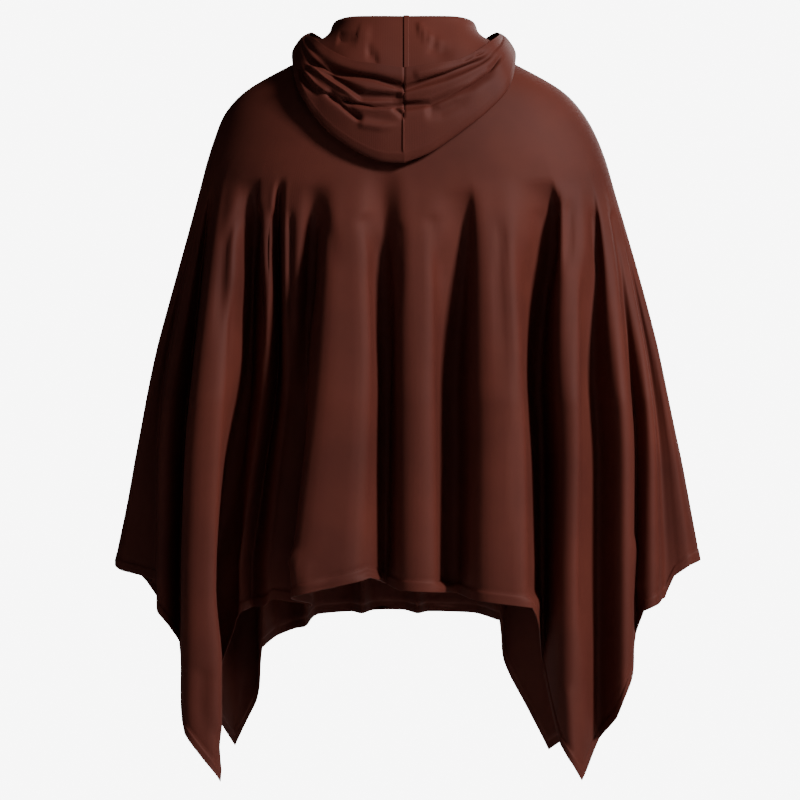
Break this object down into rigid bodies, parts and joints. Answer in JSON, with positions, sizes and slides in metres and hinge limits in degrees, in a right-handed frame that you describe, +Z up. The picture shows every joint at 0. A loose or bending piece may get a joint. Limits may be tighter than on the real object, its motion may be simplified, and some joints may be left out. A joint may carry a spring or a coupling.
{
  "type": "hooded poncho",
  "caption": "Worn hooded poncho: a wide square-cornered back and front in soft hanging folds, open below the wrists, with its hood thrown back behind the neck.",
  "frame": {"origin": "middle of the neck opening, level with the points where the cloth rests on the shoulders beside the neck", "axes": "+Z up, +Y the way the wearer faces, +X to the wearer's right"},
  "size_m": [0.7622, 0.3243, 0.9722],
  "materials": {
    "back_panel": "soft reddish brown jersey with a faint sheen",
    "front_panel": "soft reddish brown jersey with a faint sheen",
    "hood_left": "soft reddish brown jersey with a faint sheen",
    "hood_right": "soft reddish brown jersey with a faint sheen"
  },
  "bodies": {
    "root": {"back_panel": "back_panel", "front_panel": "front_panel", "hood_left": "hood_left", "hood_right": "hood_right"}
  },
  "joints": []
}
